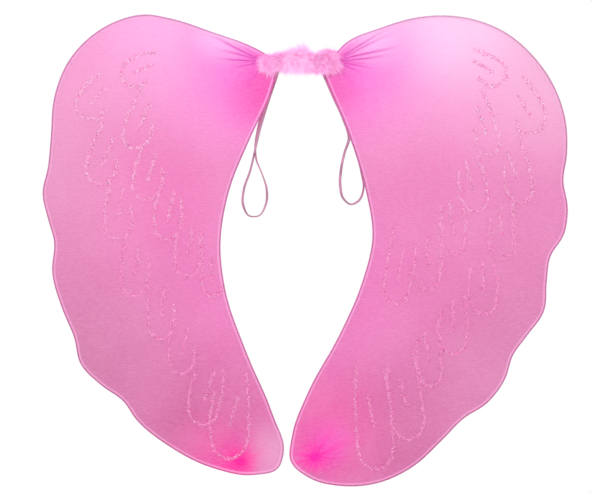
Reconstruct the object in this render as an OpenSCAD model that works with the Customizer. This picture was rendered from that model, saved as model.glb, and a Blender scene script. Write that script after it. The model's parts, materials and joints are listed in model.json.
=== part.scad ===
// Fairy wings: two wire frames in sheer nylon, joined by a furry neck,
// with an elastic shoulder loop behind each wing.
// The wings lie in the XZ plane: the glittered side faces -Y, the wearer is at +Y.

/* [Wire frame] */
// Thickness of the frame wire
wire_d = 2.4; // [1.6:0.1:3]

/* [Neck] */
// Distance from the middle to each wing's hinge
hinge_x = 16; // [15:0.5:18]
// Distance from the middle to each elastic hitch
hitch_x = 24.5; // [24:0.5:25]
// Where each wing's fur collar starts, from the middle
fur_in_x = 28; // [28:0.5:29]
// Where each wing's fur collar ends, from the middle
fur_out_x = 43; // [40:0.5:46]
// Radius of the packed fur
fur_r = 10; // [9:0.5:11]

/* [Nylon] */
// Thickness of one layer of the nylon sleeve
nylon_t = 0.3; // [0.2:0.05:0.4]
// Width of a glitter stroke
glitter_w = 3; // [2:0.5:4]
// Height of a glitter stroke above the nylon
glitter_h = 0.4; // [0.2:0.1:0.8]

/* [Elastic] */
// Width of the flat elastic
elastic_w = 4; // [3:0.5:5]
// Thickness of the flat elastic
elastic_t = 1.2; // [0.8:0.1:1.5]

/* [Hidden] */
$fn = 48;

wire_r = wire_d / 2;
running_gap = 0.05;
eye_ring_r = wire_d + running_gap;
eye_z = wire_r + 0.1;
shank = 2.4;
shank_end_x = hinge_x + eye_ring_r + shank + 0.02;
link_corner_r = 2;
link_z = 2 * eye_z + link_corner_r;
sleeve_gap = 0.05;
sleeve_in = wire_r + sleeve_gap;
sleeve_out = sleeve_in + nylon_t;
curve_steps = 4;
wire_sides = 10;
LEFT = -1;
RIGHT = 1;

// Route of each frame wire as [x, z], from the top of the neck round the wing
// and back up the inner edge. The frames are bent by hand, so they differ a little.
LEFT_BEND = [
    [-52, 15], [-100, 33], [-150, 49], [-177, 53], [-205, 47], [-238, 28], [-263, 0],
    [-278, -37], [-283, -90], [-286, -120], [-292, -150], [-286, -178], [-279, -204],
    [-281, -240], [-270, -280], [-256, -314], [-249, -343], [-226, -367], [-200, -386],
    [-186, -406], [-148, -437], [-100, -461], [-50, -469], [-26, -462], [-20, -446],
    [-32, -403], [-62, -332], [-86, -262], [-92, -208], [-82, -146], [-58, -86], [-34, -33]];
RIGHT_BEND = [
    [52, 20], [93, 38], [130, 49], [162, 52], [200, 47], [235, 32], [266, 5], [290, -31],
    [302, -70], [303, -105], [299, -134], [304, -168], [300, -195], [284, -222],
    [280, -250], [277, -283], [257, -312], [242, -333], [232, -362], [212, -388],
    [186, -405], [160, -431], [128, -460], [90, -478], [50, -482], [10, -472],
    [-9, -455], [-8, -428], [10, -378], [46, -312], [72, -252], [84, -200],
    [76, -144], [55, -76], [33, -24]];

// Glitter feathers: [tip x, tip z, lean, width, left arm, right arm, curl, dash tilt].
// The lean is in degrees, to the right when positive. An arm's length is from the tip,
// curl is how far the top of the longer arm comes in over the feather, and the tilt
// is how much further than the feather its inner dash leans.
LEFT_FEATHERS = [
    [-250, -60, 43, 38, 51, 23, 4, 0], [-203, -19, 65, 32, 47, 27, 4, 0],
    [-193, -97, 22, 32, 66, 36, 4, 4], [-233, -138, 18, 34, 68, 34, 4, 7],
    [-179, -157, 13, 34, 60, 40, 3, 5], [-209, -202, 5, 31, 65, 42, 3, 3],
    [-152, -202, 3, 31, 50, 50, 2, 10], [-190, -266, 4, 31, 60, 48, 2, 5],
    [-129, -244, 3, 29, 50, 52, 2, 5], [-159, -315, 2, 31, 66, 40, 2, 3],
    [-99, -267, -4, 20, 75, 3, 2, 0], [-137, -355, 5, 30, 62, 33, 2, 8],
    [-113, -413, 9, 36, 60, 66, 3, 9], [-81, -452, 1, 44, 76, 98, 4, 15]];
RIGHT_FEATHERS = [
    [234, -20, -59, 31, 30, 49, 4, 0], [272, -78, -30, 38, 23, 62, 3, 0],
    [219, -106, -16, 26, 34, 76, 4, -2], [254, -160, -12, 31, 44, 76, 4, -8],
    [202, -170, -10, 31, 48, 62, 4, -5], [230, -224, -1, 28, 46, 74, 2, -2],
    [175, -219, -1, 28, 56, 54, 2, -4], [145, -260, 1, 30, 54, 62, 2, 0],
    [108, -276, 8, 29, 88, 42, 2, 2], [210, -287, -2, 32, 54, 62, 3, 0],
    [175, -332, -1, 32, 50, 66, 2, 0], [150, -369, -5, 27, 54, 72, 2, -5],
    [126, -430, -7, 36, 88, 100, 3, -7], [88, -464, -4, 40, 118, 112, 4, -7]];

// Where each stocking's toe is gathered and tied behind the wing, as [x, z]
LEFT_TOE = [-68, -455];
RIGHT_TOE = [17, -450];

// Route of each elastic as [x, y, z, turn]: turn is the angle in degrees between
// the elastic's flat side and the wing, so 0 lies flat and 90 stands on edge.
LEFT_LOOP = [
    [-24, 9, -2, 0], [-26, 8, -12, 0], [-31, 7, -27, 0], [-37, 6.5, -42, 10],
    [-43, 6, -58, 20], [-48, 6, -78, 40], [-51, 6, -98, 62], [-50, 7, -110, 68],
    [-43, 8, -128, 75], [-38, 8, -145, 60], [-39, 8, -162, 58], [-47, 8, -175, 78],
    [-58, 8, -175, 72], [-65, 8, -162, 55], [-64, 8, -145, 58], [-57, 9, -124, 62],
    [-53, 9, -108, 66], [-50, 9, -94, 60], [-46, 9, -76, 40], [-41, 9.5, -58, 15],
    [-36, 10, -42, 0], [-31, 10.5, -27, 0], [-26.5, 10.5, -12, 0], [-25, 10, -2, 0]];
RIGHT_LOOP = [
    [24, 9, -2, 0], [27, 8, -12, 0], [33, 7, -26, 0], [40, 6.5, -42, 0],
    [47, 6, -57, 10], [53, 6, -72, 20], [56, 6, -86, 40], [51, 7, -103, 55],
    [47, 8, -122, 48], [46, 8, -140, 46], [50, 8, -156, 60], [58, 8, -162, 68],
    [67, 8, -158, 60], [72.5, 8, -145, 62], [70, 8, -125, 66], [64.5, 8.5, -104, 60],
    [59.5, 9, -88, 30], [53, 9, -72, 10], [47, 9.5, -57, 0], [40, 10, -42, 0],
    [33, 10.5, -26, 0], [27.5, 10.5, -12, 0], [25, 10, -2, 0]];

function unit(v) = v / norm(v);

// Direction of a smooth curve at point i of p, led by the nearer neighbour
function heading(p, i) =
    i == 0 ? unit(p[1] - p[0]) :
    i == len(p) - 1 ? unit(p[i] - p[i - 1]) :
    let (back = p[i] - p[i - 1], ahead = p[i + 1] - p[i])
    unit(back / norm(back) * norm(ahead) + ahead / norm(ahead) * norm(back));

function hermite(a, b, from, to, t) =
    a * (2 * t ^ 3 - 3 * t ^ 2 + 1) + from * (t ^ 3 - 2 * t ^ 2 + t)
    + b * (3 * t ^ 2 - 2 * t ^ 3) + to * (t ^ 3 - t ^ 2);

// Smooth curve through the points p, with curve_steps points for each stretch
function smooth(p) = [
    for (i = [0:len(p) - 2], k = [0:curve_steps - 1])
        let (span = norm(p[i + 1] - p[i]))
        hermite(p[i], p[i + 1], heading(p, i) * span, heading(p, i + 1) * span, k / curve_steps),
    p[len(p) - 1]];

// The flat path p moved sideways by d, to its left when d is positive
function beside(p, d) = [
    for (i = [0:len(p) - 1]) let (h = heading(p, i)) p[i] + d * [-h[1], h[0]]];

function reversed(p) = [for (i = [len(p) - 1:-1:0]) p[i]];

// A wing's whole wire: its own bend, with both ends brought in to the hinge
function wire_route(side, bend) = smooth(concat(
    [[side * shank_end_x, eye_z], [side * 25, eye_z], [side * 31, 3], [side * 41, 9]],
    bend,
    [[side * 28, -11], [side * 26.4, -4.8], [side * 24.6, -2.1], [side * 22.4, -eye_z],
     [side * shank_end_x, -eye_z]]));

// The part of the wire that the nylon covers starts two bends from the top eye
// and stops four bends before the lower eye.
function covered(route) = [
    for (i = [2 * curve_steps:len(route) - 1 - 4 * curve_steps]) route[i]];

// Lays flat shapes drawn in X and Z into the wing plane, from y = -from to y = -to
module in_wing_plane(from, to)
    rotate([90, 0, 0]) translate([0, 0, from]) linear_extrude(to - from) children();

// Skins a row of rings, each a list of the same number of points
module skin(rings) {
    n = len(rings[0]);
    last = len(rings) - 1;
    polyhedron(
        points = [for (ring = rings) each ring],
        faces = concat(
            [[for (k = [0:n - 1]) k]],
            [for (i = [0:last - 1], k = [0:n - 1])
                let (a = i * n + k, b = i * n + (k + 1) % n) each [[a, a + n, b], [b, a + n, b + n]]],
            [[for (k = [n - 1:-1:0]) last * n + k]]));
}

// One wing's wire, swept along its route from one eye to the other
module frame_wire(side, bend) {
    route = wire_route(side, bend);
    color("#8d5f78")
        skin([for (i = [0:len(route) - 1])
            let (h = heading(route, i), across = [-h[1], 0, h[0]])
            [for (k = [0:wire_sides - 1])
                let (a = 360 * k / wire_sides)
                [route[i][0], 0, route[i][1]] + wire_r * (cos(a) * across + [0, sin(a), 0])]]);
}

// The eyes that hang on the link, each with the straight shank that the wire continues
module wire_eyes(side)
    color("#8d5f78")
        for (z = [-eye_z, eye_z])
            translate([side * hinge_x, 0, z]) {
                rotate_extrude() translate([eye_ring_r, 0]) circle(wire_r);
                translate([side * eye_ring_r, 0, 0]) rotate([0, side * 90, 0])
                    cylinder(h = shank, r = wire_r);
            }

// One wing's nylon: a stocking that covers both faces and is open at the neck
module nylon_sleeve(side, bend) {
    edge = covered(wire_route(side, bend));
    neck = [side * (fur_in_x - 4), -4];
    color("#f07ac4", 0.8)
        difference() {
            in_wing_plane(-sleeve_out, sleeve_out) polygon(beside(edge, side * sleeve_out));
            in_wing_plane(-sleeve_in, sleeve_in)
                polygon(concat(beside(edge, side * sleeve_in), [neck]));
        }
}

// A painted stroke along a flat curve
module stroke(path)
    polygon(concat(beside(path, glitter_w / 2), reversed(beside(path, -glitter_w / 2))));

// One feather: a narrow U that is open at the top, with a dash inside it
module feather(width, left, right, curl, tilt) {
    half = width / 2;
    tuck = 0.08 * width;
    dash_low = 0.21 * (left + right);
    dash_length = min(36, 0.34 * (left + right));
    stroke(smooth([
        [(left > right ? curl : tuck) - half, max(left, 1.2 * half)],
        [-half, max(0.45 * left, 0.6 * half)], [-0.6 * half, 0.24 * half], [0, 0],
        [0.6 * half, 0.24 * half], [half, max(0.45 * right, 0.6 * half)],
        [half - (left > right ? tuck : curl), max(right, 1.2 * half)]]));
    translate([0, dash_low]) rotate(-tilt) stroke([[0, 0], [0, dash_length]]);
}

module glitter(feathers)
    color("#f7a9dc")
        in_wing_plane(sleeve_out, sleeve_out + glitter_h)
            for (f = feathers)
                translate([f[0], f[1]]) rotate(-f[2]) feather(f[3], f[4], f[5], f[6], f[7]);

// Thread wound round both ends of the wire, next to the eyes
module neck_tie(side) {
    thread_r = 0.5;
    turn_r = eye_z + wire_r + thread_r + running_gap;
    color("#c9579c")
        for (i = [0:2])
            translate([side * (20.4 + 0.9 * i), 0, 0])
                rotate([0, 90, 0]) rotate_extrude() translate([turn_r, 0]) circle(thread_r, $fn = 20);
}

// Fur collar over the start of a wing, slit so that the nylon and the wires pass
module fur_collar(side) {
    slit = sleeve_out + 0.35;
    wire_room = 2.2;
    color("#f5b3dd")
        difference() {
            rotate([0, side * 90, 0])
                rotate_extrude() polygon([
                    [0, fur_in_x], [5, fur_in_x], [8.5, fur_in_x + 2], [fur_r, fur_in_x + 5],
                    [fur_r, fur_out_x - 2], [fur_r - 2, fur_out_x], [0, fur_out_x]]);
            in_wing_plane(-slit, slit)
                polygon([
                    [side * (fur_in_x - 1), 1.6 + wire_room], [side * 31, 3 + wire_room],
                    [side * 35, 5.5 + wire_room], [side * 41, 9.5 + wire_room],
                    [side * 48, 15 + wire_room], [side * 48, -fur_r - 1],
                    [side * (fur_in_x - 1), -fur_r - 1]]);
        }
}

// The bunched end of the stocking, pulled through to the wearer's side
module toe_knot(toe)
    color("#ee4fae")
        translate([toe[0], sleeve_out, toe[1]]) rotate([-90, 0, 0])
            rotate_extrude() polygon([
                [0, 0], [5, 0], [3.2, 1.6], [2.4, 3], [2.4, 4.4], [3.4, 5.4], [4.4, 7.2],
                [4.2, 9], [3, 10.2], [0, 10.6]]);

module toe_thread(toe) {
    thread_r = 0.5;
    waist_r = 2.4;
    color("#c9579c")
        translate([toe[0], sleeve_out + 3.7, toe[1]]) rotate([-90, 0, 0])
            rotate_extrude() translate([waist_r + thread_r + 0.1, 0]) circle(thread_r, $fn = 20);
}

// The elastic is tied round the neck: one turn, with a knot on the wearer's side
module hitch(side) {
    turn_r = 6.9;
    turn_thick = 1;
    knot_r = 2.6;
    color("#d684b4")
        translate([side * hitch_x, 0, 0]) {
            rotate([0, 90, 0]) rotate_extrude() translate([turn_r, 0]) circle(turn_thick, $fn = 24);
            translate([0, turn_r + knot_r - turn_thick / 2, 0]) sphere(knot_r);
        }
}

// One flat elastic loop, swept along its route as a slim eight-sided band
module elastic(route) {
    centres = [for (p = route) [p[0], p[1], p[2]]];
    color("#d684b4")
        skin([for (i = [0:len(route) - 1])
            let (
                along = heading(centres, i),
                sideways = unit(cross([0, 1, 0], along)),
                out = cross(along, sideways),
                turn = route[i][3],
                wide = cos(turn) * sideways + sin(turn) * out,
                flat = cross(along, wide))
            [for (k = [0:7])
                let (a = 22.5 - 45 * k)
                centres[i] + 0.54 * (elastic_w * cos(a) * wide + elastic_t * sin(a) * flat)]]);
}

// The link between the wings: wire bent to a slim rectangle, whose upright sides
// are the hinge pins
module centre_link() {
    leg = 2 * eye_z * 2;
    bar = 2 * (hinge_x - link_corner_r);
    color("#8d5f78") {
        for (side = [LEFT, RIGHT]) {
            translate([side * hinge_x, 0, 0]) cylinder(h = leg, r = wire_r, center = true);
            for (top = [LEFT, RIGHT])
                translate([side * (hinge_x - link_corner_r), 0, top * leg / 2])
                    rotate([90, 0, 0]) rotate(side > 0 ? (top > 0 ? 0 : 270) : (top > 0 ? 90 : 180))
                        rotate_extrude(angle = 90) translate([link_corner_r, 0]) circle(wire_r);
        }
        for (top = [LEFT, RIGHT])
            translate([0, 0, top * link_z]) rotate([0, 90, 0])
                cylinder(h = bar, r = wire_r, center = true);
    }
}

// Crimp that closes the link, round the middle of its top bar
module link_ferrule()
    color("#b9b3b8")
        translate([0, 0, link_z]) rotate([0, 90, 0])
            difference() {
                cylinder(h = 8, r = wire_r + 0.5, center = true);
                cylinder(h = 9, r = wire_r + 0.02, center = true);
            }

// A block with half-round ends along Z, drawn across X
module stadium(length, r, reach) {
    for (top = [LEFT, RIGHT])
        translate([0, 0, top * reach]) rotate([0, 90, 0]) cylinder(h = length, r = r, center = true);
    cube([length, 2 * r, 2 * reach], center = true);
}

// Tape wound round both bars of the link
module centre_binding()
    color("#e79ac9")
        difference() {
            stadium(14, wire_r + 1.5, link_z);
            stadium(15, wire_r + 0.6, link_z);
        }

// Fur strip wound round the tape
module centre_fur()
    color("#f9bfe4")
        difference() {
            rotate([0, 90, 0])
                rotate_extrude() polygon([
                    [0, -7.5], [8, -7.5], [9.6, -6], [11.2, -3], [11.2, 3], [9.6, 6], [8, 7.5],
                    [0, 7.5]]);
            stadium(16, wire_r + 1.55, link_z);
        }

centre_link();
link_ferrule();
centre_binding();
centre_fur();
frame_wire(LEFT, LEFT_BEND);  // left_wire
wire_eyes(LEFT);  // left_wire_eyes
nylon_sleeve(LEFT, LEFT_BEND);  // left_nylon
glitter(LEFT_FEATHERS);  // left_glitter
neck_tie(LEFT);  // left_neck_tie
fur_collar(LEFT);  // left_fur
toe_knot(LEFT_TOE);  // left_toe_knot
toe_thread(LEFT_TOE);  // left_toe_thread
elastic(LEFT_LOOP);  // left_elastic
hitch(LEFT);  // left_hitch
frame_wire(RIGHT, RIGHT_BEND);  // right_wire
wire_eyes(RIGHT);  // right_wire_eyes
nylon_sleeve(RIGHT, RIGHT_BEND);  // right_nylon
glitter(RIGHT_FEATHERS);  // right_glitter
neck_tie(RIGHT);  // right_neck_tie
fur_collar(RIGHT);  // right_fur
toe_knot(RIGHT_TOE);  // right_toe_knot
toe_thread(RIGHT_TOE);  // right_toe_thread
elastic(RIGHT_LOOP);  // right_elastic
hitch(RIGHT);  // right_hitch
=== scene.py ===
import json
import math

import bmesh
import bpy
import numpy as np
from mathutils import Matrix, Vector, geometry, noise

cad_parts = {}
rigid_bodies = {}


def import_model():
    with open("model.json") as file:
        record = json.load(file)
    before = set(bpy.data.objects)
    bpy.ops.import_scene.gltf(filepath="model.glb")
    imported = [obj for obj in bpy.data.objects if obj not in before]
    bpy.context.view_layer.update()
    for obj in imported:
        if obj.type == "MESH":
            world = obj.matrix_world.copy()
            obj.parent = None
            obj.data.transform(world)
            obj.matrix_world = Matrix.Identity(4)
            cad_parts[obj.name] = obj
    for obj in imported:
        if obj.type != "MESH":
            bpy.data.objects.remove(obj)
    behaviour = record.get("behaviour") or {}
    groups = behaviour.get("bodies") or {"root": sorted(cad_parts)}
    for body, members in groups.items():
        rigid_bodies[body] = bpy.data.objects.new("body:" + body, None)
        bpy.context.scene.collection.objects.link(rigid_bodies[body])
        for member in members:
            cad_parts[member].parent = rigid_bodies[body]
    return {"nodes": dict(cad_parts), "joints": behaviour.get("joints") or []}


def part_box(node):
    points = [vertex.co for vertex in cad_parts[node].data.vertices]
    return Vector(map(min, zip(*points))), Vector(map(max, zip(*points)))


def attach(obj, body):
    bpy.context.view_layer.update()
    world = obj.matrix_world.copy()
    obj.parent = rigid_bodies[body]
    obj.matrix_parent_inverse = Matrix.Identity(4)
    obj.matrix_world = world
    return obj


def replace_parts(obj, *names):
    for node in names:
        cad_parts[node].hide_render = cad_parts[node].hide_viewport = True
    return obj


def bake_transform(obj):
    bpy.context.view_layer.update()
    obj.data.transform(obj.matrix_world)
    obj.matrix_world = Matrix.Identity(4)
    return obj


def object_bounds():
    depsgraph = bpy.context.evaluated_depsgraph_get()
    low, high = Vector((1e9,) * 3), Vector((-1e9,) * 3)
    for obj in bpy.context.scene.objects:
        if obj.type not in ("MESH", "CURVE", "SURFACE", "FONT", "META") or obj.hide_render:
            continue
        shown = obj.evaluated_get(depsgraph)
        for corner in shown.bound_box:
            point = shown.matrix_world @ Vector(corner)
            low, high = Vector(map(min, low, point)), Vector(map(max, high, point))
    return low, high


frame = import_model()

MM = 0.001
TURN = 2 * math.pi
CAD_BOX = [list(corner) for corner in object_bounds()]
SIDES = {"left": -1, "right": 1}
HINGE_X = {j["child"]: j["pos_m"][0] for j in frame["joints"] if j["parent"] == "centre"}

# ---------------------------------------------------------------- elastic routes
# The same points as in the part's source, in millimetres: x, y, z and the turn in degrees.
LEFT_LOOP = [
    (-24, 9, -2, 0), (-26, 8, -12, 0), (-31, 7, -27, 0), (-37, 6.5, -42, 10),
    (-43, 6, -58, 20), (-48, 6, -78, 40), (-51, 6, -98, 62), (-50, 7, -110, 68),
    (-43, 8, -128, 75), (-38, 8, -145, 60), (-39, 8, -162, 58), (-47, 8, -175, 78),
    (-58, 8, -175, 72), (-65, 8, -162, 55), (-64, 8, -145, 58), (-57, 9, -124, 62),
    (-53, 9, -108, 66), (-50, 9, -94, 60), (-46, 9, -76, 40), (-41, 9.5, -58, 15),
    (-36, 10, -42, 0), (-31, 10.5, -27, 0), (-26.5, 10.5, -12, 0), (-25, 10, -2, 0)]
RIGHT_LOOP = [
    (24, 9, -2, 0), (27, 8, -12, 0), (33, 7, -26, 0), (40, 6.5, -42, 0),
    (47, 6, -57, 10), (53, 6, -72, 20), (56, 6, -86, 40), (51, 7, -103, 55),
    (47, 8, -122, 48), (46, 8, -140, 46), (50, 8, -156, 60), (58, 8, -162, 68),
    (67, 8, -158, 60), (72.5, 8, -145, 62), (70, 8, -125, 66), (64.5, 8.5, -104, 60),
    (59.5, 9, -88, 30), (53, 9, -72, 10), (47, 9.5, -57, 0), (40, 10, -42, 0),
    (33, 10.5, -26, 0), (27.5, 10.5, -12, 0), (25, 10, -2, 0)]
LOOPS = {"left": LEFT_LOOP, "right": RIGHT_LOOP}
ELASTIC_WIDTH = 4 * MM
ELASTIC_THICK = 1.2 * MM


# ---------------------------------------------------------------- small helpers
def linear(red, green, blue):
    """An sRGB colour from 0 to 255 as linear RGBA."""
    def one(c):
        c /= 255
        return c / 12.92 if c <= 0.04045 else ((c + 0.055) / 1.055) ** 2.4
    return (one(red), one(green), one(blue), 1)


def unit(v):
    return v / np.maximum(np.linalg.norm(v, axis=-1, keepdims=True), 1e-12)


def smoothstep(low, high, value):
    t = np.clip((value - low) / (high - low), 0, 1)
    return t * t * (3 - 2 * t)


def run_along(path):
    """The distance along a path at each of its points."""
    return np.r_[0, np.cumsum(np.linalg.norm(np.diff(path, axis=0), axis=1))]


def middle_of(node):
    """The middle of a node's box."""
    low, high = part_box(node)
    return (low + high) / 2


def through(points, spacing, steps=24):
    """A smooth open curve through the points, resampled at an even spacing.

    Columns after the third aren't part of the place, and are carried along with it."""
    p = np.asarray(points, float)
    p = np.vstack([2 * p[0] - p[1], p, 2 * p[-1] - p[-2]])
    place = slice(0, 3)
    t = np.linspace(0, 1, steps, endpoint=False)[:, None]
    rows = []
    for a, b, c, d in zip(p, p[1:], p[2:], p[3:]):
        back, span, ahead = (max(np.linalg.norm((q - r)[place]), 1e-9)
                             for r, q in ((a, b), (b, c), (c, d)))
        leave = span * ((b - a) / back * span + (c - b) / span * back) / (span + back)
        arrive = span * ((c - b) / span * ahead + (d - c) / ahead * span) / (span + ahead)
        rows.append(b * (2 * t**3 - 3 * t**2 + 1) + leave * (t**3 - 2 * t**2 + t)
                    + c * (3 * t**2 - 2 * t**3) + arrive * (t**3 - t**2))
    dense = np.vstack(rows + [p[-2][None]])
    run = run_along(dense[:, place])
    even = np.linspace(0, run[-1], max(int(round(run[-1] / spacing)), 2) + 1)
    return np.stack([np.interp(even, run, column) for column in dense.T], axis=1)


def mesh_object(name, points, faces, material, attributes=None, smooth=True):
    """A new mesh object, with float or colour attributes given per point."""
    mesh = bpy.data.meshes.new(name)
    mesh.from_pydata([tuple(map(float, p)) for p in points], [], [tuple(f) for f in faces])
    mesh.update()
    if smooth:
        mesh.polygons.foreach_set("use_smooth", np.ones(len(mesh.polygons), bool))
    for key, values in (attributes or {}).items():
        values = np.asarray(values, np.float32)
        kind, field = ("FLOAT", "value") if values.ndim == 1 else ("FLOAT_COLOR", "color")
        mesh.attributes.new(key, kind, "POINT").data.foreach_set(field, values.ravel())
    obj = bpy.data.objects.new(name, mesh)
    bpy.context.scene.collection.objects.link(obj)
    mesh.materials.append(material)
    return obj


def fix_normals(obj):
    """Turns every face outward."""
    work = bmesh.new()
    work.from_mesh(obj.data)
    bmesh.ops.recalc_face_normals(work, faces=work.faces)
    work.to_mesh(obj.data)
    work.free()


def ring_faces(rings, around, start=0):
    """Quads that skin a row of closed rings of points."""
    faces = []
    for i in range(rings - 1):
        for k in range(around):
            a, b = start + i * around + k, start + i * around + (k + 1) % around
            faces.append((a, b, b + around, a + around))
    return faces


def tube_faces(rings, around):
    """Quads and two end caps that close a row of rings of points."""
    last = (rings - 1) * around
    caps = [tuple(reversed(range(around))), tuple(last + k for k in range(around))]
    return ring_faces(rings, around) + caps


# ---------------------------------------------------------------- shader helpers
class Shader:
    """Adds nodes to a material, with inputs given by name as numbers or other nodes' outputs.

    A name of _0, _1 and so on is an input's number."""

    def __init__(self, name):
        self.material = bpy.data.materials.new(name)
        self.material.use_nodes = True
        self.tree = self.material.node_tree
        self.surface = self.tree.nodes["Principled BSDF"]
        self.here = self.add("ShaderNodeTexCoord").outputs["Object"]

    def add(self, kind, settings=None, **inputs):
        node = self.tree.nodes.new(kind)
        for key, value in (settings or {}).items():
            setattr(node, key, value)
        for key, value in inputs.items():
            self.join(node, int(key[1:]) if key[0] == "_" else key.replace("_", " "), value)
        return node

    def join(self, node, socket, value):
        if isinstance(value, bpy.types.NodeSocket):
            self.tree.links.new(value, node.inputs[socket])
        else:
            node.inputs[socket].default_value = value

    def set(self, **inputs):
        for key, value in inputs.items():
            self.join(self.surface, key.replace("_", " "), value)

    def maths(self, operation, a, b=0.0, clamp=False):
        settings = {"operation": operation, "use_clamp": clamp}
        return self.add("ShaderNodeMath", settings, _0=a, _1=b).outputs[0]

    def times(self, a, b, clamp=False):
        return self.maths("MULTIPLY", a, b, clamp)

    def wave(self, value, pitch):
        """A sine of the value that repeats at the pitch."""
        return self.maths("SINE", self.times(value, TURN / pitch))

    def total(self, first, *others):
        """The sum of several values, held between 0 and 1."""
        *middle, last = others
        for other in middle:
            first = self.maths("ADD", first, other)
        return self.maths("ADD", first, last, clamp=True)

    def attribute(self, name, output="Fac"):
        return self.add("ShaderNodeAttribute", {"attribute_name": name}).outputs[output]

    def mix(self, amount, a, b):
        node = self.add("ShaderNodeMix", {"data_type": "RGBA"}, _0=amount, _6=a, _7=b)
        return node.outputs[2]

    def fade(self, value, low, high, out_low=0.0, out_high=1.0):
        node = self.add("ShaderNodeMapRange", {"interpolation_type": "SMOOTHSTEP"},
                        _0=value, _1=low, _2=high, _3=out_low, _4=out_high)
        return node.outputs[0]

    def near(self, x, z, radius):
        """1 at x, z, falling smoothly to 0 at the radius, all in metres."""
        flat = self.add("ShaderNodeVectorMath", {"operation": "MULTIPLY"},
                        _0=self.here, _1=(1, 0, 1)).outputs[0]
        gap = self.add("ShaderNodeVectorMath", {"operation": "DISTANCE"},
                       _0=flat, _1=(x, 0, z)).outputs["Value"]
        return self.fade(gap, 0.0, radius, 1.0, 0.0)

    def noise(self, scale, detail=2.0, where=None, roughness=0.5):
        return self.add("ShaderNodeTexNoise", Vector=where or self.here, Scale=scale,
                        Detail=detail, Roughness=roughness).outputs["Fac"]

    def bump(self, height, distance, strength):
        self.set(Normal=self.add("ShaderNodeBump", Height=height, Distance=distance,
                                 Strength=strength).outputs[0])


# ---------------------------------------------------------------- materials
def nylon_colour(s, tints, grain):
    """Colour pools at the gathers and pales where the nylon is stretched most."""
    colour = linear(230, 104, 182)
    for x, z, radius, strength, tint in tints["pools"]:
        amount = s.times(s.near(x * MM, z * MM, radius * MM), strength)
        colour = s.mix(amount, colour, linear(*tint))
    colour = s.mix(s.fade(s.noise(9.0, 3.0), 0.35, 0.7, 0.0, 0.16), colour,
                   linear(250, 168, 218))
    colour = s.mix(s.fade(grain, 0.3, 0.7, 0.0, 0.12), colour, linear(255, 205, 236))
    # Pleats darken to magenta: denser doubled nylon with painted shade in their valleys.
    for key, strength, tint in (
            ("fold", 0.85, (206, 16, 172)), ("star", 0.9, tints["knot"]),
            # Painted highlight along the wire's inner half, and painted shade on its outer half
            # over the wire seen through the nylon.
            ("line", 0.6, (255, 196, 234)), ("rim", 0.3, (178, 88, 138))):
        colour = s.mix(s.times(s.attribute(key), strength), colour, linear(*tint))
    return colour


def nylon_cover(s, neck, toe, tints, grain):
    """How much the nylon hides: more at the gathers, the wire and the lower wing."""
    height = s.add("ShaderNodeSeparateXYZ", Vector=s.here).outputs["Z"]
    dense = [(*neck, 120 * MM, 0.12), (*toe, 45 * MM, 0.15)]
    dense += [(x * MM, z * MM, radius * MM, extra) for x, z, radius, extra in tints["dense"]]
    return s.total(
        0.66, s.times(s.attribute("fold"), 0.2), s.times(s.attribute("line"), 0.16),
        s.fade(height, -270 * MM, -80 * MM, 0.09, 0.0),
        *(s.times(s.near(x, z, radius), extra) for x, z, radius, extra in dense),
        s.fade(grain, 0.25, 0.75, -0.04, 0.04))


def nylon_material(side, neck, toe, tints):
    s = Shader(side + "_sheer_nylon")
    knit = s.add("ShaderNodeMapping", Vector=s.here, Scale=(260, 260, 1700)).outputs[0]
    grain = s.noise(1.0, 2.0, knit)
    s.set(Base_Color=nylon_colour(s, tints, grain),
          Alpha=nylon_cover(s, neck, toe, tints, grain), Roughness=0.55, Sheen_Weight=0.25,
          Sheen_Roughness=0.4, Specular_IOR_Level=0.25)
    s.bump(grain, 0.05 * MM, 0.35)
    return s.material


def glue_material():
    s = Shader("clear_glitter_glue")
    lumps = s.noise(900.0)
    colour = s.mix(s.fade(lumps, 0.35, 0.65), linear(248, 150, 210), linear(255, 196, 232))
    s.set(Base_Color=colour, Alpha=s.fade(lumps, 0.3, 0.7, 0.02, 0.12), Roughness=0.28)
    s.bump(lumps, 0.12 * MM, 0.6)
    return s.material


def flake_material():
    s = Shader("glitter_flakes")
    s.set(Base_Color=s.attribute("tint", "Color"),
          Roughness=s.fade(s.noise(400.0), 0.3, 0.7, 0.2, 0.45))
    return s.material


def fur_material():
    """Pile that is deeper pink at its roots, a painted shade deep in the pile. Its glow stands for
    light scattered between hairs.
    """
    s = Shader("long_pile_fur")
    # Painted shade: the strands turn deeper pink towards their roots.
    colour = s.mix(s.fade(s.attribute("tip"), 0.0, 0.7, 0.3, 0.0),
                   s.attribute("tint", "Color"), linear(246, 142, 216))
    colour = s.mix(s.fade(s.noise(700.0), 0.4, 0.7, 0.0, 0.15), colour, linear(255, 236, 248))
    s.set(Base_Color=colour, Roughness=0.75, Sheen_Weight=0.4, Specular_IOR_Level=0.2,
          Emission_Color=colour, Emission_Strength=0.16)
    return s.material


def under_fur_material():
    s = Shader("fur_backing")
    hair = s.noise(520.0, 4.0, roughness=0.7)
    colour = s.mix(s.fade(hair, 0.35, 0.65), linear(244, 156, 214), linear(255, 196, 238))
    s.set(Base_Color=colour, Roughness=0.9, Sheen_Weight=0.5)
    s.bump(hair, 0.7 * MM, 0.9)
    return s.material


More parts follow.
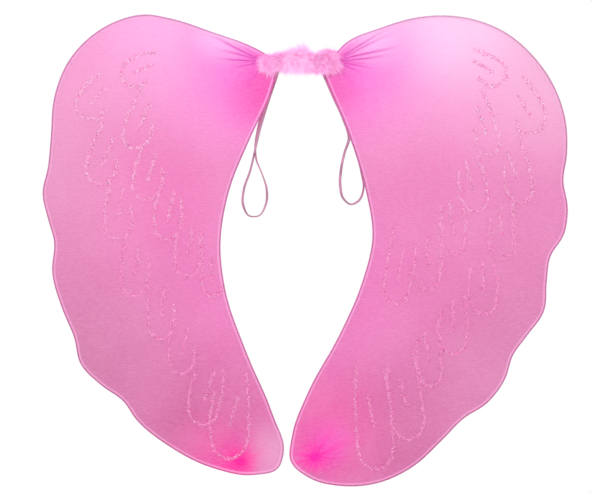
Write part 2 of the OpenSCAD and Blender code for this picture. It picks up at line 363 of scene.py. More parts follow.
def elastic_material():
    """Six ribs across the band, crossed by rows of knitted loops, with painted shade in the grooves
    and in patches.
    """
    s = Shader("knitted_elastic")
    ribs = s.wave(s.attribute("across"), 1 / 6)
    loops = s.wave(s.attribute("along"), 0.9 * MM)
    knit = s.maths("ADD", s.times(s.times(ribs, loops), 0.5), 0.5)
    # The rib and loop pattern, its grooves darkened with painted shade.
    colour = s.mix(s.fade(knit, -0.5, 0.5), linear(112, 58, 90), linear(206, 140, 174))
    # Patches of painted shadow on the band.
    colour = s.mix(s.fade(s.noise(60.0, 3.0), 0.4, 0.7, 0.0, 0.5), colour, linear(132, 70, 104))
    s.set(Base_Color=colour, Roughness=0.7, Sheen_Weight=0.3)
    s.bump(knit, 0.15 * MM, 0.8)
    return s.material


def wire_material():
    s = Shader("coated_wire")
    patches = s.noise(130.0, 4.0)
    colour = s.mix(s.fade(patches, 0.4, 0.66), linear(120, 66, 98), linear(168, 104, 140))
    s.set(Base_Color=colour, Metallic=0.35, Roughness=s.fade(patches, 0.3, 0.7, 0.3, 0.55))
    s.bump(s.noise(1500.0), 0.03 * MM, 0.4)
    return s.material


def steel_material():
    s = Shader("crimped_steel")
    marks = s.noise(900.0, 3.0)
    s.set(Base_Color=s.mix(marks, linear(150, 146, 150), linear(205, 202, 206)),
          Metallic=1.0, Roughness=s.fade(marks, 0.3, 0.7, 0.25, 0.5))
    s.bump(marks, 0.05 * MM, 0.5)
    return s.material


def cloth_material(name, dark, light, pitch):
    """Woven or wound cloth: fine crossing threads of the given pitch."""
    s = Shader(name)
    place = s.add("ShaderNodeSeparateXYZ", Vector=s.here)
    weave = s.times(s.wave(place.outputs["X"], pitch), s.wave(place.outputs["Z"], pitch))
    colour = s.mix(s.fade(weave, -0.8, 0.8), linear(*dark), linear(*light))
    colour = s.mix(s.fade(s.noise(200.0, 3.0), 0.4, 0.7, 0.0, 0.3), colour, linear(*dark))
    s.set(Base_Color=colour, Roughness=0.8, Sheen_Weight=0.3)
    s.bump(weave, 0.1 * MM, 0.7)
    return s.material


def bunch_material():
    s = Shader("bunched_nylon")
    crease = s.noise(420.0, 3.0)
    colour = s.mix(s.fade(crease, 0.35, 0.65), linear(226, 44, 158), linear(250, 112, 200))
    s.set(Base_Color=colour, Roughness=0.6, Sheen_Weight=0.3)
    s.bump(crease, 0.3 * MM, 0.7)
    return s.material


def stage_material():
    s = Shader("pale_floor")
    s.set(Base_Color=s.mix(s.noise(3.0), linear(240, 239, 240), linear(246, 245, 246)),
          Roughness=0.9)
    return s.material


# ---------------------------------------------------------------- wing shapes
RIM_STEP = 2.6 * MM
RIM_ROWS = (0.8 * MM, 1.7 * MM, 3.0 * MM)
OPEN_GRID, PLEAT_GRID, TOE_GRID = 3.6 * MM, 0.95 * MM, 1.6 * MM
NECK_X, NECK_Z = 40 * MM, 1 * MM
PLEAT_REACH = 90 * MM
TOE_REACH = 42 * MM
HALF_ROUND_STEPS = 7
TOUCH = 0.01 * MM

# Pleats in each neck: direction from straight outward in degrees, width in degrees,
# length in millimetres and depth.
PLEATS = {
    "left": [(24, 1.7, 84, 0.85), (13, 1.5, 66, 0.8), (4, 1.3, 64, 0.95), (-5, 1.2, 36, 0.4),
             (-13, 1.6, 46, 0.7), (33, 1.6, 44, 0.35), (-34, 3.0, 34, 0.35), (-54, 4.0, 46, 0.3)],
    "right": [(34, 1.6, 78, 0.8), (25, 1.4, 84, 0.75), (15, 1.6, 88, 0.9), (5, 1.4, 74, 0.9),
              (-4, 1.2, 52, 0.6), (-12, 1.5, 50, 0.85), (-22, 1.7, 40, 0.8),
              (42, 1.6, 40, 0.4), (-52, 4.0, 50, 0.3)]}
# How strongly each toe's nylon is bunched, and how sharp its rays are.
TOE_STRENGTH = {"left": 0.95, "right": 1.0}
TOE_CRISPNESS = {"left": 0.45, "right": 1.0}


def front_edges(node):
    """The edges of a node's front face as pairs of keys, and each key's x and z."""
    mesh = frame["nodes"][node].data
    points = np.array([v.co for v in mesh.vertices])
    front = points[:, 1].min() + TOUCH
    flat = points[:, [0, 2]]
    keys = [tuple(key) for key in np.round(flat / (0.001 * MM)).astype(int)]
    uses = {}
    for face in mesh.polygons:
        if all(points[v][1] < front for v in face.vertices):
            ring = [keys[v] for v in face.vertices]
            for a, b in zip(ring, ring[1:] + ring[:1]):
                if a != b:
                    uses.setdefault(frozenset((a, b)), []).append((a, b))
    return [found[0] for found in uses.values() if len(found) == 1], dict(zip(keys, flat))


def rim_of(node):
    """The outline of a nylon node's front face, as x, z points in order."""
    edges, place = front_edges(node)
    beside = {}
    for a, b in edges:
        beside.setdefault(a, []).append(b)
        beside.setdefault(b, []).append(a)
    start = next(iter(beside))
    loop, last = [start], None
    while True:
        step = [k for k in beside[loop[-1]] if k != last]
        last = loop[-1]
        if not step or step[0] == start:
            break
        loop.append(step[0])
    return np.array([place[k] for k in loop])


def open_rim(side):
    """A wing's outline as an open run from the top of its neck to the bottom of its neck."""
    loop = rim_of(side + "_nylon")
    hinge = np.array([HINGE_X[side + "_wing"], 0])
    gap = np.linalg.norm(loop - hinge, axis=1)
    cut = int(np.argmin(gap + np.roll(gap, -1)))
    run = np.roll(loop, -(cut + 1), axis=0)
    return run if run[0][1] > run[-1][1] else run[::-1]


def inside(points, ring):
    """Which of the x, z points lie inside a closed ring."""
    x, z = points[:, 0:1], points[:, 1:2]
    ax, az = ring[:, 0], ring[:, 1]
    bx, bz = np.roll(ax, -1), np.roll(az, -1)
    with np.errstate(divide="ignore", invalid="ignore"):
        crosses = ((az > z) != (bz > z)) & (x < (bx - ax) * (z - az) / (bz - az) + ax)
    return crosses.sum(axis=1) % 2 == 1


def clearance(points, ring, batch=64):
    """Distance of each x, z point from the nearest of the ring's points."""
    best = np.full(len(points), np.inf)
    for k in range(0, len(ring), batch):
        gaps = np.linalg.norm(points[:, None] - ring[None, k:k + batch], axis=2)
        best = np.minimum(best, gaps.min(axis=1))
    return best


def honeycomb(start, end, spacing):
    """Points of a triangular grid between two corners."""
    z = np.arange(start[1], end[1], spacing * 0.866)
    x = np.arange(start[0], end[0], spacing)
    gx, gz = np.meshgrid(x, z)
    gx = gx + (np.arange(len(z)) % 2)[:, None] * spacing / 2
    return np.stack([gx.ravel(), gz.ravel()], axis=1)


class Wing:
    """The lines that one wing's skins follow, in x and z."""

    def __init__(self, side):
        self.side, self.sign = side, SIDES[side]
        low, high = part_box(side + "_nylon")
        self.half_thick = (high.y - low.y) / 2
        rim = through(open_rim(side), RIM_STEP)
        heading = unit(np.gradient(rim, axis=0))
        self.outward = np.stack([-heading[:, 1], heading[:, 0]], axis=1) * self.sign
        self.line = rim - self.outward * self.half_thick
        self.neck = np.array([self.sign * NECK_X, NECK_Z])
        toe = middle_of(side + "_toe_knot")
        self.toe = np.array([toe.x, toe.z])

    def polar(self, p):
        """Each point's distance from the neck, and its direction from outward in degrees."""
        away = p - self.neck
        angle = np.degrees(np.arctan2(away[:, 1], self.sign * away[:, 0]))
        return np.linalg.norm(away, axis=1), angle

    def zone(self, p):
        """Which grid a point belongs to: 0 for the open wing, 1 for the pleats, 2 for the toe."""
        reach, angle = self.polar(p)
        pleated = (reach < 14 * MM) | ((reach < PLEAT_REACH) & (np.abs(angle - 6) < 38))
        toe = np.linalg.norm(p - self.toe, axis=1) < TOE_REACH
        return np.where(pleated, 1, np.where(toe, 2, 0))

    def skin_points(self):
        """Points inside the wing: rows along the rim, and grids that are finest at the gathers."""
        rows = []
        for inset in RIM_ROWS:
            row = self.line - self.outward * inset
            row = row[inside(row, self.line)]
            rows.append(row[clearance(row, self.line) > 0.8 * inset])
        pleats = PLEAT_REACH + 2 * MM
        grids = ((OPEN_GRID, self.line.min(axis=0), self.line.max(axis=0)),
                 (PLEAT_GRID, self.neck - pleats, self.neck + pleats),
                 (TOE_GRID, self.toe - TOE_REACH, self.toe + TOE_REACH))
        for zone, (spacing, start, end) in enumerate(grids):
            grid = honeycomb(start, end, spacing)
            grid = grid[self.zone(grid) == zone]
            grid = grid[inside(grid, self.line)]
            rows.append(grid[clearance(grid, self.line) > RIM_ROWS[-1] + 0.5 * spacing])
        return np.vstack(rows)

    def folds(self, p):
        """How dark the gathered pleats are at each point, and how far they stand out; the darkness
        is denser doubled nylon with painted shade in the pleat valleys.
        """
        reach, angle = self.polar(p)
        dark, lift = np.zeros(len(p)), np.zeros(len(p))
        for middle, width, length, depth in PLEATS[self.side]:
            bend = middle + 1.8 * np.sin(reach / (26 * MM) + middle)
            across = (angle - bend) / (0.8 * width * (1 + 12 * MM / np.maximum(reach, 4 * MM)))
            along = depth * (1 - smoothstep(0.35 * length, length, reach / MM))
            valley = along * np.exp(-across**2)
            ridge = along * np.exp(-((across - 2.2) / 1.4)**2)
            dark = np.maximum(dark, valley)
            lift += 0.6 * ridge - 1.1 * valley
        return dark, lift * MM * smoothstep(0, 14 * MM, reach)

    def starburst(self, p):
        """Rays of bunched nylon round the toe knot: darkness, and depth of the folds."""
        away = p - self.toe
        reach = np.linalg.norm(away, axis=1)
        angle = np.arctan2(away[:, 1], away[:, 0])
        crisp = TOE_CRISPNESS[self.side]
        rays = 0.5 + 0.5 * np.cos(13 * angle + 1.3 * np.sin(3 * angle + 1))
        length = (22 + 38 * (0.5 + 0.5 * np.sin(2 * angle + 0.4))**2 * crisp) * MM
        fade = np.exp(-(reach / (0.55 * length))**1.5)
        gap = crisp * 0.9 * (1 - rays**2) * smoothstep(3 * MM, 9 * MM, reach)
        dark = fade * (1 - gap) * TOE_STRENGTH[self.side]
        return dark, fade * (rays - 0.5) * 1.2 * MM * crisp


def skin_layers(wing, p, edge_gap, lift, star, dent):
    """The front and back layers, each with its pleats, toe folds and slight sag."""
    held = smoothstep(0, 9 * MM, edge_gap)
    ripple = np.array([noise.noise(Vector((x * 11, z * 11, 3 * wing.sign))) for x, z in p])
    sag = 0.25 * MM * (0.5 + 0.5 * ripple) * held
    skin_y = wing.half_thick - 0.04 * MM
    front = sag - skin_y - (lift + dent) * held
    back = skin_y - sag + (0.8 * lift + 2.0 * MM * star**2) * held
    return [np.stack([p[:, 0], y, p[:, 1]], axis=1) for y in (front, back)]


def wire_wrap(wing, p):
    """Rows of points of the nylon round the wire, and the quads that join both layers."""
    border, layer = wing.line, len(p)
    skin_y = wing.half_thick - 0.04 * MM
    nearest = np.array([int(np.argmin(np.sum((p - q)**2, axis=1))) for q in border])
    rows, columns = [], [nearest]
    for k in range(HALF_ROUND_STEPS - 1):
        turn = math.pi * ((k + 1) / HALF_ROUND_STEPS - 0.5)
        flat = border + wing.outward * (skin_y * math.cos(turn))
        depth = np.full(len(border), skin_y * math.sin(turn))
        rows.append(np.stack([flat[:, 0], depth, flat[:, 1]], axis=1))
        columns.append(2 * layer + k * len(border) + np.arange(len(border)))
    columns.append(nearest + layer)
    quads = [(one[i], one[i + 1], two[i + 1], two[i])
             for one, two in zip(columns, columns[1:]) for i in range(len(border) - 1)]
    return np.vstack(rows), quads


def build_skin(wing, material):
    """One wing's nylon: front and back layers, joined round the wire and open at the neck."""
    border = wing.line
    points = [Vector(p) for p in np.vstack([border, wing.skin_points()])]
    edges = [(i, (i + 1) % len(border)) for i in range(len(border))]
    flat, _, triangles, *_ = geometry.delaunay_2d_cdt(points, edges, [], 1, 1e-7)
    p = np.array([tuple(v) for v in flat])
    edge_gap = clearance(p, border)
    dark, lift = wing.folds(p)
    star, dent = wing.starburst(p)
    front, back = skin_layers(wing, p, edge_gap, lift, star, dent)
    wrap, quads = wire_wrap(wing, p)
    faces = [face for a, b, c in triangles
             for face in ((a, b, c), (a + len(p), c + len(p), b + len(p)))]
    # Along the wire: the rim is the wire seen through the nylon with painted shade on its outer
    # half; the line is a painted highlight on its inner half, where the nylon doubles.
    rim = smoothstep(0.7 * MM, 0.0, edge_gap)
    line = np.exp(-((edge_gap - 1.1 * MM) / (0.9 * MM))**2)
    none, full = np.zeros(len(wrap)), np.ones(len(wrap))
    obj = mesh_object(wing.side + "_nylon_skin", np.vstack([front, back, wrap]), faces + quads,
                      material, {"fold": np.concatenate([dark, dark * 0.8, none]),
                                 "star": np.concatenate([star, star, none]),
                                 "rim": np.concatenate([rim, rim, full]),
                                 "line": np.concatenate([line, line, none])})
    fix_normals(obj)
    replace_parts(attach(obj, wing.side + "_wing"), wing.side + "_nylon")
    return obj


# ---------------------------------------------------------------- glitter
FLAKES_PER_MM2 = 2.1
FLAKE_SHAPE = [(-1, -0.5), (0, -1), (1, -0.5), (1, 0.5), (0, 1), (-1, 0.5)]
FLAKE_KINDS = {(255, 206, 238): 0.34, (248, 140, 206): 0.24, (255, 226, 246): 0.17,
               (232, 84, 170): 0.225, (84, 26, 66): 0.025}
LOW_GLITTER_DIMS = (0.0, 0.34, 0.13, 0)


def outer_triangles(node):
    """The corners of the triangles on a node's front face."""
    mesh = frame["nodes"][node].data
    mesh.calc_loop_triangles()
    points = np.array([v.co for v in mesh.vertices])
    corners = points[np.array([t.vertices for t in mesh.loop_triangles])]
    return corners[(corners[:, :, 1] < points[:, 1].min() + TOUCH).all(axis=1)]


def scatter(corners, per_mm2, draw):
    """Random points spread evenly over triangles."""
    sides = corners[:, 1:] - corners[:, :1]
    area = 0.5 * np.linalg.norm(np.cross(sides[:, 0], sides[:, 1]), axis=1)
    count = int(area.sum() / (MM * MM) * per_mm2)
    pick = corners[draw.choice(len(area), count, p=area / area.sum())]
    u, v = draw.random((2, count, 1))
    u, v = np.where(u + v > 1, 1 - u, u), np.where(u + v > 1, 1 - v, v)
    return pick[:, 0] + u * (pick[:, 1] - pick[:, 0]) + v * (pick[:, 2] - pick[:, 0])


def build_flakes(side, material, seed):
    """Glitter flakes on the outer face of a wing's painted strokes, dimmer lower down."""
    draw = np.random.default_rng(seed)
    centre = scatter(outer_triangles(side + "_glitter"), FLAKES_PER_MM2, draw)
    count = len(centre)
    centre += draw.normal(0, 0.75 * MM, (count, 3)) * (1, 0, 1)
    centre[:, 1] -= draw.uniform(0.02, 0.2, count) * MM
    lean = unit(np.stack([draw.normal(0, 0.35, count), -np.ones(count),
                          draw.normal(0, 0.35, count)], axis=1))
    spin = draw.uniform(0, math.pi, count)
    across = unit(np.cross(lean, np.stack([np.cos(spin), np.zeros(count), np.sin(spin)], axis=1)))
    along = np.cross(lean, across)
    size = draw.uniform(0.2, 0.5, count)[:, None] * MM
    rows = np.stack([centre + size * (a * across + b * along) for a, b in FLAKE_SHAPE], axis=1)
    kinds = np.array([linear(*colour) for colour in FLAKE_KINDS])
    tint = kinds[draw.choice(len(kinds), count, p=list(FLAKE_KINDS.values()))]
    low = smoothstep(-60 * MM, -260 * MM, centre[:, 2])[:, None]
    tint = tint * (1 - low * LOW_GLITTER_DIMS)
    corners = len(FLAKE_SHAPE)
    faces = np.arange(count * corners).reshape(count, corners)
    obj = mesh_object(side + "_glitter_flakes", rows.reshape(-1, 3), faces, material,
                      {"tint": np.repeat(tint, corners, axis=0)}, smooth=False)
    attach(obj, side + "_wing")


# ---------------------------------------------------------------- fur neck
# Puffs of the wound fur strip: middle x, half length, radius and rise, in millimetres.
PUFFS = [(-35, 11, 11.6, -0.8), (-23, 7, 9.8, 3.0), (-4, 14, 12.6, 2.8), (15, 8, 10.8, 1.2),
         (31, 12, 13.6, 2.0)]
FUR_END = 43.5 * MM
WRAP = 17 * MM
BACKING_AROUND = 40
BACKING_STEP = 1.2 * MM
STRANDS_IN_CLUMP = 18
STRAND_LEVELS = (0, 0.38, 0.72, 1.0)
# The strip's colours: most of it, its pale middle, the painted shade in its hollows and its palest
# hairs.
FUR_WARM, FUR_MIDDLE = linear(250, 190, 236), linear(254, 206, 238)
FUR_SHADED, FUR_PALE = linear(222, 138, 190), linear(255, 228, 250)


def fur_radius(x):
    """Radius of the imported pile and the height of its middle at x."""
    total, radius, rise = np.zeros_like(x), np.zeros_like(x), np.zeros_like(x)
    for middle, half, size, up in PUFFS:
        share = np.exp(-((x / MM - middle) / (0.62 * half))**2) + 1e-6
        total, radius, rise = total + share, radius + share * size, rise + share * up
    closing = np.sqrt(np.clip(1 - smoothstep(0.84, 1.04, np.abs(x) / FUR_END)**2, 0.02, 1))
    return radius / total * MM * closing, rise / total * MM


def outward_way(angle):
    """The direction out from the neck's axis at each angle."""
    return np.stack([np.zeros_like(angle), np.cos(angle), np.sin(angle)], axis=1)


def swirl_way(angle):
    """The direction round the neck at each angle."""
    return np.stack([np.zeros_like(angle), -np.sin(angle), np.cos(angle)], axis=1)


def sideways(along_x):
    """Vectors of the given lengths along X."""
    return along_x[:, None] * (1, 0, 0)


def fur_backing(name, start, end, seed, material):
    """The strip's soft backing, under the pile."""
    length = max(int((end - start) / BACKING_STEP), 8)
    xs = np.linspace(start, end, length)
    rows = []
    for x, r, up in zip(xs, *fur_radius(xs)):
        for k in range(BACKING_AROUND):
            y, z = math.cos(TURN * k / BACKING_AROUND), math.sin(TURN * k / BACKING_AROUND)
            lump = noise.noise(Vector((x * 160, y * 1.3, z * 1.3 + seed)))
            size = max(r - 3.6 * MM + lump * 1.3 * MM, 2.6 * MM)
            rows.append((x, size * y, up - 1 * MM + size * z))
    backing = mesh_object(name + "_backing", rows, tube_faces(length, BACKING_AROUND), material)
    fix_normals(backing)
    return backing


class Pile:
    """Random strands of fur between two values of x, gathered in clumps."""

    def __init__(self, start, end, count, seed):
        self.draw, self.count = np.random.default_rng(seed), count
        self.clumps = count // STRANDS_IN_CLUMP
        self.member = self.draw.integers(0, self.clumps, count)
        self.clump_x = self.draw.uniform(start, end, self.clumps)
        self.clump_angle = self.draw.uniform(0, TURN, self.clumps)
        self.x = np.clip(self.shared(self.clump_x, 0.7 * MM), start, end)
        self.angle = self.shared(self.clump_angle, 0.1)
        self.radius, self.rise = fur_radius(self.x)
        out = outward_way(self.angle)
        self.root = np.stack([self.x, 0 * self.x, self.rise - 1 * MM], axis=1)
        self.root += out * (self.radius - 4.6 * MM).clip(2.2 * MM)[:, None]
        self.points = self.grow(out)
        self.tint = self.colours()

    def shared(self, values, spread):
        """One value per clump, with a little spread between its strands."""
        return values[self.member] + self.draw.normal(0, spread, (self.count,) + values.shape[1:])

    def tuft(self):
        """How far each strand belongs to the tuft that stands up from the middle puff."""
        x = self.x / MM
        beside = smoothstep(-17, 3, x) * (1 - smoothstep(4, 10, x))
        return beside * np.exp(-((self.angle - TURN / 4) / 0.5)**2)

    def grow(self, out):
        """The corners of each strand, a thin tapered ribbon of three lengths."""
        draw, clumps, count = self.draw, self.clumps, self.count
        seam = ((self.x / WRAP + self.angle / TURN + 0.3) % 1 - 0.5) * 2
        tuft = self.tuft()
        free = (1 - 0.75 * tuft)[:, None]
        edge = np.sign(self.x) * smoothstep(0.72, 1.0, np.abs(self.x) / FUR_END)
        lean = seam + self.shared(draw.normal(0.25, 0.4, clumps), 0.15) + 1.2 * edge
        turned = 0.75 + self.shared(draw.normal(0, 0.45, clumps), 0.15)
        swirl = swirl_way(self.angle) * turned[:, None]
        height = 5.6 + self.shared(3.4 * draw.random(clumps), 0.5) + 5.5 * tuft
        height = height.clip(2.5)[:, None] * MM
        heading = unit(out + (sideways(lean) + swirl) * free)
        droop = (-0.08 - 0.2 * draw.random(count))[:, None] * (0, 0, 1) * free
        curl = self.shared(draw.normal(0, 0.22, (clumps, 3)), 0.12)
        apart = (self.clump_angle[self.member] - self.angle) * self.radius
        meet = sideways(self.clump_x[self.member] - self.x)
        meet = 0.7 * (meet + apart[:, None] * swirl_way(self.angle))
        wide = unit(np.cross(heading, draw.normal(0, 1, (count, 3))))
        wide = wide * draw.uniform(0.08, 0.17, count)[:, None] * MM
        rows = []
        for t in STRAND_LEVELS:
            spine = self.root + height * (t * heading + t * t * (droop + 0.6 * curl))
            spine = spine + t * t * meet
            rows += [spine - wide * (1 - 0.85 * t), spine + wide * (1 - 0.85 * t)]
        return np.stack(rows, axis=1)

    def colours(self):
        """Each strand's colour: paler in the middle puff, with painted shade in the hollows between
        the clumps.
        """
        slanted = self.x - 0.4 * self.root[:, 2]
        middle = smoothstep(-26 * MM, -16 * MM, self.x) * (1 - smoothstep(6 * MM, 15 * MM, slanted))
        warm, pale, shaded = np.array(FUR_WARM), np.array(FUR_PALE), np.array(FUR_SHADED)
        tint = warm + middle[:, None] * (np.array(FUR_MIDDLE) - warm)
        shade = self.shared(self.draw.normal(0.0, 0.65, self.clumps), 0.35).clip(-1, 1)
        tint = tint + 0.75 * shade.clip(0)[:, None] * (pale - tint)
        # Painted shade in the hollows: the darker clumps move towards a shaded mauve, less in the
        # middle puff and most to the right.
        hollow = (1 - 0.75 * middle) * (0.75 + 0.25 * smoothstep(8 * MM, 20 * MM, self.x))
        tint = tint + 0.95 * ((-shade).clip(0) * hollow)[:, None] * (shaded - tint)
        return np.clip(tint, 0, 1)

    def mesh(self, name, material):
        """The pile as one mesh object, with each strand's tint and its tip from 0 to 1."""
        corners = 2 * len(STRAND_LEVELS)
        first = np.arange(self.count)[:, None] * corners
        faces = np.vstack([first + np.array([2 * k, 2 * k + 1, 2 * k + 3, 2 * k + 2])
                           for k in range(len(STRAND_LEVELS) - 1)])
        return mesh_object(name + "_pile", self.points.reshape(-1, 3), faces, material,
                           {"tip": np.tile(np.repeat(STRAND_LEVELS, 2), self.count),
                            "tint": np.repeat(self.tint, corners, axis=0)})


def build_fur(name, start, end, count, seed, materials, joins):
    """A length of fur between two values of x: a soft backing and its pile of strands.

    joins names the wing that the fur was to blend to from the middle, and where, or None; only None
    is acted on, putting the fur on the centre, and no blending is done."""
    pile_material, backing_material = materials
    backing = fur_backing(name, start, end, seed, backing_material)
    pile = Pile(start, end, count, seed).mesh(name, pile_material)
    for obj in (backing, pile):
        if joins is None:
            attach(obj, "centre")
        else:
            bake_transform(obj)
    return pile


# ---------------------------------------------------------------- elastic loops
BAND_AROUND = 12
BAND_SQUARENESS = 0.6
BAND_RIPPLE, BAND_RIPPLE_PITCH = 0.03, 1.8 * MM
STRAND_AROUND = 8
STRAND_WIDE, STRAND_FLAT = 1.5, 0.8
NECK_STRAND, KNOT_STRAND = 0.55 * MM, 0.72 * MM
KNOT_SCALE = 0.72 * MM
KNOT_DEPTH = 3.0 * MM


def band(points, turns, name, material):
    """The flat elastic swept along points; turns is the angle of its flat side at each."""
    along = unit(np.gradient(points, axis=0))
    side = unit(np.cross(np.array([0, 1, 0.0]), along))
    out = np.cross(along, side)
    turn = np.radians(turns)[:, None]
    wide = np.cos(turn) * side + np.sin(turn) * out
    flat = np.cross(along, wide)
    run = run_along(points)
    a = TURN * np.arange(BAND_AROUND) / BAND_AROUND
    box_x = np.sign(np.cos(a)) * np.abs(np.cos(a))**BAND_SQUARENESS
    box_y = np.sign(np.sin(a)) * np.abs(np.sin(a))**BAND_SQUARENESS
    half_width = 0.5 * ELASTIC_WIDTH * (1 + BAND_RIPPLE * np.sin(TURN * run / BAND_RIPPLE_PITCH))
    rings = (points[:, None] + half_width[:, None, None] * box_x[None, :, None] * wide[:, None]
             + 0.5 * ELASTIC_THICK * box_y[None, :, None] * flat[:, None])
    obj = mesh_object(name, rings.reshape(-1, 3), tube_faces(len(points), BAND_AROUND), material,
                      {"along": np.repeat(run, BAND_AROUND),
                       "across": np.tile(box_x * 0.5 + 0.5, len(points))})
    fix_normals(obj)
    return obj


def build_elastic(side, material):
    """The arm loop that hangs behind one wing, and the knot that it is tied with."""
    route = np.array(LOOPS[side], float)
    route[:, :3] *= MM
    fine = through(route, 1.1 * MM)
    centres = fine[:, :3]
    loop = band(centres, fine[:, 3], side + "_elastic_loop", material)
    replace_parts(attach(loop, side + "_strap"), side + "_elastic")
    knot = build_hitch(side, material)


def hitch_paths(side):
    """The elastic's turn round the neck and its overhand knot, with each strand's size."""
    low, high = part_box(side + "_hitch")
    middle = np.array([(low.x + high.x) / 2, 0, 0])
    ring_r = -low.y - 0.8 * MM
    a = np.linspace(0, TURN, 72)
    turn = middle + np.stack([-0.35 * MM * np.sin(2 * a), ring_r * np.cos(a),
                              ring_r * np.sin(a)], axis=1)
    b = np.linspace(0, TURN, 110)
    knot = np.stack([np.sin(b) + 1.7 * np.sin(2 * b), 1.1 * np.sin(3 * b),
                     np.cos(b) - 1.7 * np.cos(2 * b)], axis=1) * KNOT_SCALE
    knot_at = middle + np.array([0, high.y - KNOT_DEPTH, 0])
    return (turn, NECK_STRAND), (knot_at + knot, KNOT_STRAND)


def build_hitch(side, material):
    """The elastic's turn round the neck and its overhand knot, as one piece."""
    rings, faces, along, across = [], [], [], []
    c = TURN * np.arange(STRAND_AROUND) / STRAND_AROUND
    for path, size in hitch_paths(side):
        head = unit(np.gradient(path, axis=0))
        side_way = unit(np.cross(head, np.array([0.31, 0.2, 0.93])))
        up = np.cross(head, side_way)
        start = sum(len(r) for r in rings)
        ring = path[:, None] + size * (STRAND_WIDE * np.cos(c)[None, :, None] * side_way[:, None]
                                       + STRAND_FLAT * np.sin(c)[None, :, None] * up[:, None])
        rings.append(ring.reshape(-1, 3))
        faces += ring_faces(len(path), STRAND_AROUND, start)
        along.append(np.repeat(run_along(path), STRAND_AROUND))
        across.append(np.tile(np.cos(c) * 0.5 + 0.5, len(path)))
    obj = mesh_object(side + "_elastic_knot", np.vstack(rings), faces, material,
                      {"along": np.concatenate(along), "across": np.concatenate(across)})
    fix_normals(obj)
    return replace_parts(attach(obj, side + "_strap"), side + "_hitch")


# ---------------------------------------------------------------- bunched toes
# Outline of a bunch: the share of its reach behind the wing, and the radius in millimetres.
BUNCH = [(0.0, 5.6), (0.07, 4.0), (0.18, 3.0), (0.32, 2.35), (0.4, 2.3), (0.5, 3.1),
         (0.64, 4.3), (0.78, 4.6), (0.9, 3.9), (0.98, 2.6), (1.0, 1.2)]
BUNCH_AROUND = 72


def build_toe(wing, material, seed):
    """The bunched tail of the stocking behind the toe, tied at its waist."""
    low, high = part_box(wing.side + "_toe_knot")
    rows = []
    for level, size in BUNCH:
        for k in range(BUNCH_AROUND):
            a = TURN * k / BUNCH_AROUND
            pleat = math.cos(11 * a + 2 * level) + 0.5 * math.cos(5 * a + seed)
            r = size * MM * (1 + (0.05 + 0.11 * level) * pleat)
            rumple = 1 - 0.06 * (1 + math.cos(7 * a + seed)) * level
            rows.append((wing.toe[0] + r * math.cos(a), low.y + (high.y - low.y) * level * rumple,
                         wing.toe[1] + r * math.sin(a)))
    obj = mesh_object(wing.side + "_toe_bunch", rows, tube_faces(len(BUNCH), BUNCH_AROUND),
                      material)
    fix_normals(obj)
    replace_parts(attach(obj, wing.side + "_wing"), wing.side + "_toe_knot")


# ---------------------------------------------------------------- camera, light and floor
CAMERA_DISTANCE = 4.2
VIEW_WIDTH = 0.675
VIEW_SHIFT = (-0.0105, 0.0045)
SENSOR_WIDTH = 36
# Lamps: name, place, diameter in metres and power in watts.
LAMPS = [("key", (-1.3, -1.9, 1.1), 1.0, 13), ("fill", (1.6, -1.7, 0.2), 1.6, 4),
         ("back", (0.4, 1.8, 1.0), 1.5, 5)]
FLOOR_RADIUS, FLOOR_SIDES, FLOOR_DROP = 1.05, 96, 0.09


def add_object(name, data, place):
    obj = bpy.data.objects.new(name, data)
    obj.location = place
    bpy.context.scene.collection.objects.link(obj)
    return obj


def build_camera(aim):
    """A straight-on camera with a long lens."""
    lens = bpy.data.cameras.new("front")
    lens.sensor_width = SENSOR_WIDTH
    lens.lens = SENSOR_WIDTH * CAMERA_DISTANCE / VIEW_WIDTH
    camera = add_object("front", lens, aim + Vector((0, -CAMERA_DISTANCE, 0)))
    camera.rotation_euler = (math.radians(90), 0, 0)
    bpy.context.scene.camera = camera


def build_light(aim):
    """A white surround and soft lamps, shown without a film curve so that white stays white."""
    scene = bpy.context.scene
    scene.view_settings.view_transform = "Standard"
    scene.world = bpy.data.worlds.new("studio")
    scene.world.use_nodes = True
    surround = scene.world.node_tree.nodes["Background"].inputs
    surround["Color"].default_value = (1, 1, 1, 1)
    surround["Strength"].default_value = 1.0
    for name, place, size, power in LAMPS:
        light = bpy.data.lights.new(name, "AREA")
        light.shape, light.size, light.energy = "DISK", size, power
        lamp = add_object(name, light, place)
        lamp.rotation_euler = (aim - Vector(place)).to_track_quat("-Z", "Y").to_euler()


def build_floor(height):
    """A pale round floor."""
    points = [(0, 0, 0)] + [(FLOOR_RADIUS * math.cos(TURN * k / FLOOR_SIDES),
                             FLOOR_RADIUS * math.sin(TURN * k / FLOOR_SIDES), 0)
                            for k in range(FLOOR_SIDES)]
    faces = [(0, k + 1, (k + 1) % FLOOR_SIDES + 1) for k in range(FLOOR_SIDES)]
    floor = mesh_object("floor", points, faces, stage_material())
    floor.location.z = height


def build_view():
    low, high = (Vector(corner) for corner in CAD_BOX)
    middle = (low + high) / 2
    aim = Vector((middle.x + VIEW_SHIFT[0], 0, middle.z + VIEW_SHIFT[1]))
    build_camera(aim)
    build_light(aim)
    build_floor(low.z - FLOOR_DROP)


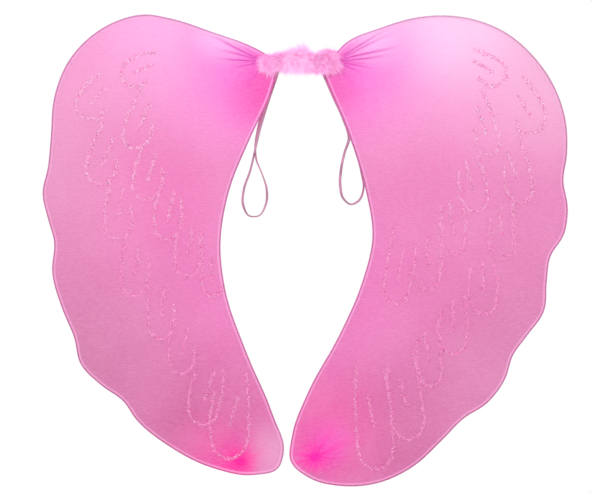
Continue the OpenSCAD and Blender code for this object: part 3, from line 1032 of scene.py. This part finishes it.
# ---------------------------------------------------------------- putting it together
# Colours in sRGB. A pool is x, z and radius in millimetres, strength and colour; a dense place
# is x, z and radius in millimetres and what it adds to the nylon's cover.
TINTS = {
    "left": {
        "knot": (255, 16, 158),
        "dense": [(-40, -42, 66, 0.13)],
        "pools": [
            (-150, 60, 190, 0.85, (252, 172, 232)), (-290, -260, 230, 0.55, (212, 120, 166)),
            (-250, -360, 170, 0.6, (190, 104, 150)), (-280, -60, 130, 0.5, (232, 150, 198)),
            (-280, -150, 120, 0.35, (214, 130, 176)), (-140, -420, 170, 0.7, (190, 46, 128)),
            (-165, -145, 110, 0.5, (234, 78, 176)), (-60, -385, 90, 0.5, (210, 70, 150)),
            (-60, -20, 120, 0.85, (252, 96, 216)), (-90, 32, 46, 0.6, (255, 206, 255)),
            (-38, -38, 60, 0.95, (238, 18, 164)), (-23, -10, 15, 0.9, (176, 40, 112)),
            (-94, -456, 78, 0.8, (240, 40, 160)), (-32, -444, 46, 0.85, (226, 150, 194)),
            (-70, -458, 26, 1.0, (255, 4, 156))]},
    "right": {
        "knot": (255, 20, 172),
        "dense": [(16, -452, 30, 0.08)],
        "pools": [
            (160, 60, 200, 0.9, (254, 184, 238)), (200, 62, 120, 0.7, (255, 216, 246)),
            (290, -30, 140, 0.6, (244, 186, 218)), (280, -260, 220, 0.5, (212, 122, 168)),
            (130, 44, 90, 0.5, (255, 206, 246)), (110, -440, 160, 0.7, (192, 60, 134)),
            (165, -270, 100, 0.4, (220, 76, 162)), (230, -370, 170, 0.6, (204, 112, 162)),
            (60, -10, 120, 0.85, (252, 92, 214)), (84, 28, 46, 0.6, (255, 206, 255)),
            (40, -36, 42, 0.9, (240, 40, 176)), (25, -14, 12, 0.9, (176, 50, 116)),
            (26, -424, 110, 0.8, (236, 52, 162)), (36, -434, 36, 0.6, (248, 62, 200)),
            (6, -478, 30, 0.8, (190, 96, 146)), (16, -452, 22, 0.95, (255, 4, 164))]}}
WING_STRANDS, CENTRE_STRANDS = 15000, 12000
WING_FUR_FROM, CENTRE_FUR_TO = 11 * MM, 12.5 * MM
BEND_FROM, BEND_TO = 10 * MM, 22 * MM


def dress(names, material):
    """Gives CAD nodes that stay in view their material."""
    for name in names:
        mesh = frame["nodes"][name].data
        mesh.materials.clear()
        mesh.materials.append(material)


def build_wing(side, number, flakes, bunch, fur):
    """Everything built for one wing, apart from its elastic; its skin, flakes and toe ride on the
    wing, and its fur is left unattached.
    """
    wing, sign = Wing(side), SIDES[side]
    skin = build_skin(wing, nylon_material(side, wing.neck, wing.toe, TINTS[side]))
    build_flakes(side, flakes, 11 + number)
    build_toe(wing, bunch, 3 + number)
    start, end = sorted((sign * WING_FUR_FROM, sign * FUR_END))
    pile = build_fur(side + "_fur", start, end, WING_STRANDS, 21 + number, fur,
                     (side + "_wing", sign * BEND_FROM, sign * BEND_TO))
    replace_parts(pile, side + "_fur")


def dress_cad():
    """Materials for the CAD nodes that stay in view."""
    both = {part: [side + part for side in SIDES] for part in (
        "_wire", "_wire_eyes", "_glitter", "_neck_tie", "_toe_thread")}
    dress(["centre_link"] + both["_wire"] + both["_wire_eyes"], wire_material())
    dress(["link_ferrule"], steel_material())
    dress(["centre_binding"],
          cloth_material("binding_tape", (214, 120, 174), (242, 178, 214), 0.8 * MM))
    dress(both["_glitter"], glue_material())
    dress(both["_neck_tie"] + both["_toe_thread"],
          cloth_material("sewing_thread", (176, 60, 124), (222, 112, 170), 0.35 * MM))


def main():
    build_view()
    elastic = elastic_material()
    for side in SIDES:
        build_elastic(side, elastic)
    flakes, bunch = flake_material(), bunch_material()
    fur = (fur_material(), under_fur_material())
    for number, side in enumerate(SIDES):
        build_wing(side, number, flakes, bunch, fur)
    pile = build_fur("centre_fur", -CENTRE_FUR_TO, CENTRE_FUR_TO, CENTRE_STRANDS, 31, fur, None)
    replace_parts(pile, "centre_fur")
    dress_cad()


main()
